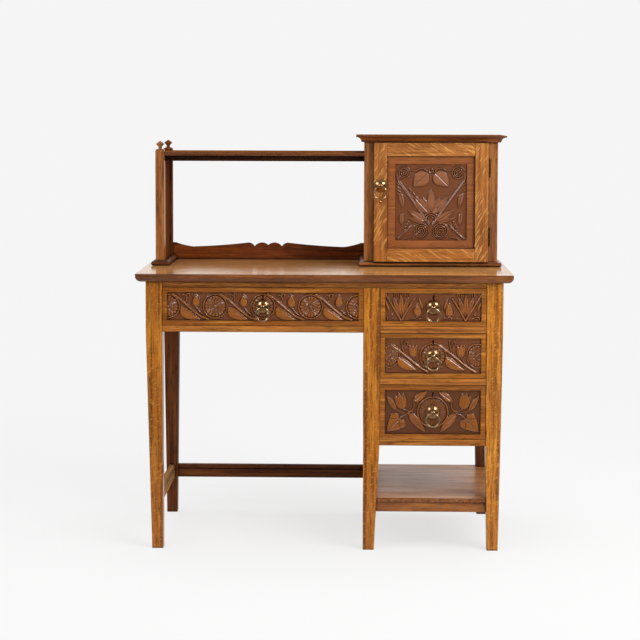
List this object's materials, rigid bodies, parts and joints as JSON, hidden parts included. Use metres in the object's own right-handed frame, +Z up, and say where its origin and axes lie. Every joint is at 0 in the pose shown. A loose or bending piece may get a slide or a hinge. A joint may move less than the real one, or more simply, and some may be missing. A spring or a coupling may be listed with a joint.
{
  "type": "writing desk",
  "caption": "Oak writing desk with tapered legs, carved drawers over a kneehole and in a pedestal, and a gallery shelf beside a small cupboard with a carved door.",
  "frame": {"origin": "on the floor, under the centre of the whole desk", "axes": "+X to the right as seen by someone sitting at it, +Y to its back, +Z up"},
  "size_m": [1.008, 0.53, 1.1164],
  "materials": {
    "golden_oak": "waxed golden oak",
    "figured_oak": "waxed quarter-sawn oak",
    "brown_oak": "waxed brown oak",
    "dark_oak": "dark aged oak",
    "carved_oak": "carved, polished oak",
    "drawer_pine": "bare planed wood",
    "aged_brass": "aged polished brass",
    "lock_iron": "dull dark iron"
  },
  "bodies": {
    "carcass": {"leg_front_left": "golden_oak", "leg_front_middle": "golden_oak", "leg_front_right": "golden_oak", "leg_back_left": "dark_oak", "leg_back_middle": "dark_oak", "leg_back_right": "dark_oak", "desktop": "brown_oak", "front_top_rail": "golden_oak", "kneehole_rail": "golden_oak", "pedestal_rails": "golden_oak", "left_side_panel": "brown_oak", "pedestal_sides": "brown_oak", "back_panels": "dark_oak", "stretchers": "dark_oak", "pedestal_shelf": "brown_oak", "shelf_rails": "brown_oak", "drawer_runners": "drawer_pine", "gallery_posts": "golden_oak", "gallery_end_panel": "dark_oak", "gallery_shelf": "brown_oak", "gallery_shelf_rail": "dark_oak", "gallery_backboard": "dark_oak", "base_mouldings": "brown_oak", "cupboard_sides": "brown_oak", "cupboard_face_frame": "golden_oak", "cupboard_top": "brown_oak", "cupboard_cornice": "brown_oak", "cupboard_floor": "brown_oak", "cupboard_back": "dark_oak", "hinge_case_leaves": "aged_brass", "hinge_pins": "lock_iron"},
    "door": {"door_frame": "figured_oak", "door_panel": "carved_oak", "hinge_door_leaves": "aged_brass", "door_pull_boss": "aged_brass"},
    "door_ring": {"door_pull_ring": "aged_brass"},
    "kneehole_drawer": {"kneehole_drawer_front": "carved_oak", "kneehole_drawer_box": "drawer_pine", "kneehole_drawer_lock": "lock_iron", "kneehole_drawer_pull_boss": "aged_brass"},
    "kneehole_drawer_ring": {"kneehole_drawer_pull_ring": "aged_brass"},
    "kneehole_drawer_bolt": {"kneehole_drawer_lock_bolt": "aged_brass"},
    "top_drawer": {"top_drawer_front": "carved_oak", "top_drawer_box": "drawer_pine", "top_drawer_lock": "lock_iron", "top_drawer_pull_boss": "aged_brass"},
    "top_drawer_ring": {"top_drawer_pull_ring": "aged_brass"},
    "top_drawer_bolt": {"top_drawer_lock_bolt": "aged_brass"},
    "middle_drawer": {"middle_drawer_front": "carved_oak", "middle_drawer_box": "drawer_pine", "middle_drawer_lock": "lock_iron", "middle_drawer_pull_boss": "aged_brass"},
    "middle_drawer_ring": {"middle_drawer_pull_ring": "aged_brass"},
    "middle_drawer_bolt": {"middle_drawer_lock_bolt": "aged_brass"},
    "bottom_drawer": {"bottom_drawer_front": "carved_oak", "bottom_drawer_box": "drawer_pine", "bottom_drawer_lock": "lock_iron", "bottom_drawer_pull_boss": "aged_brass"},
    "bottom_drawer_ring": {"bottom_drawer_pull_ring": "aged_brass"},
    "bottom_drawer_bolt": {"bottom_drawer_lock_bolt": "aged_brass"}
  },
  "joints": [
    {"name": "door_swing", "type": "hinge", "parent": "carcass", "child": "door", "pos_m": [0.4553, 0.0075, 0.9305], "axis": [0, 0, 1], "range_deg": [0, 95]},
    {"name": "door_ring_swing", "type": "hinge", "parent": "door", "child": "door_ring", "pos_m": [0.1515, -0.024, 0.975], "axis": [-1, 0, 0], "range_deg": [0, 110]},
    {"name": "kneehole_drawer_slide", "type": "slide", "parent": "carcass", "child": "kneehole_drawer", "axis": [0, -1, 0], "range_m": [0, 0.3]},
    {"name": "kneehole_drawer_ring_swing", "type": "hinge", "parent": "kneehole_drawer", "child": "kneehole_drawer_ring", "pos_m": [-0.1645, -0.249, 0.6592], "axis": [-1, 0, 0], "range_deg": [0, 110]},
    {"name": "kneehole_drawer_bolt_rise", "type": "slide", "parent": "kneehole_drawer", "child": "kneehole_drawer_bolt", "axis": [0, 0, 1], "range_m": [0, 0.0055]},
    {"name": "top_drawer_slide", "type": "slide", "parent": "carcass", "child": "top_drawer", "axis": [0, -1, 0], "range_m": [0, 0.3]},
    {"name": "top_drawer_ring_swing", "type": "hinge", "parent": "top_drawer", "child": "top_drawer_ring", "pos_m": [0.2925, -0.249, 0.6592], "axis": [-1, 0, 0], "range_deg": [0, 110]},
    {"name": "top_drawer_bolt_rise", "type": "slide", "parent": "top_drawer", "child": "top_drawer_bolt", "axis": [0, 0, 1], "range_m": [0, 0.0055]},
    {"name": "middle_drawer_slide", "type": "slide", "parent": "carcass", "child": "middle_drawer", "axis": [0, -1, 0], "range_m": [0, 0.3]},
    {"name": "middle_drawer_ring_swing", "type": "hinge", "parent": "middle_drawer", "child": "middle_drawer_ring", "pos_m": [0.2925, -0.249, 0.5287], "axis": [-1, 0, 0], "range_deg": [0, 110]},
    {"name": "middle_drawer_bolt_rise", "type": "slide", "parent": "middle_drawer", "child": "middle_drawer_bolt", "axis": [0, 0, 1], "range_m": [0, 0.0055]},
    {"name": "bottom_drawer_slide", "type": "slide", "parent": "carcass", "child": "bottom_drawer", "axis": [0, -1, 0], "range_m": [0, 0.3]},
    {"name": "bottom_drawer_ring_swing", "type": "hinge", "parent": "bottom_drawer", "child": "bottom_drawer_ring", "pos_m": [0.2925, -0.249, 0.3762], "axis": [-1, 0, 0], "range_deg": [0, 110]},
    {"name": "bottom_drawer_bolt_rise", "type": "slide", "parent": "bottom_drawer", "child": "bottom_drawer_bolt", "axis": [0, 0, 1], "range_m": [0, 0.0055]}
  ]
}
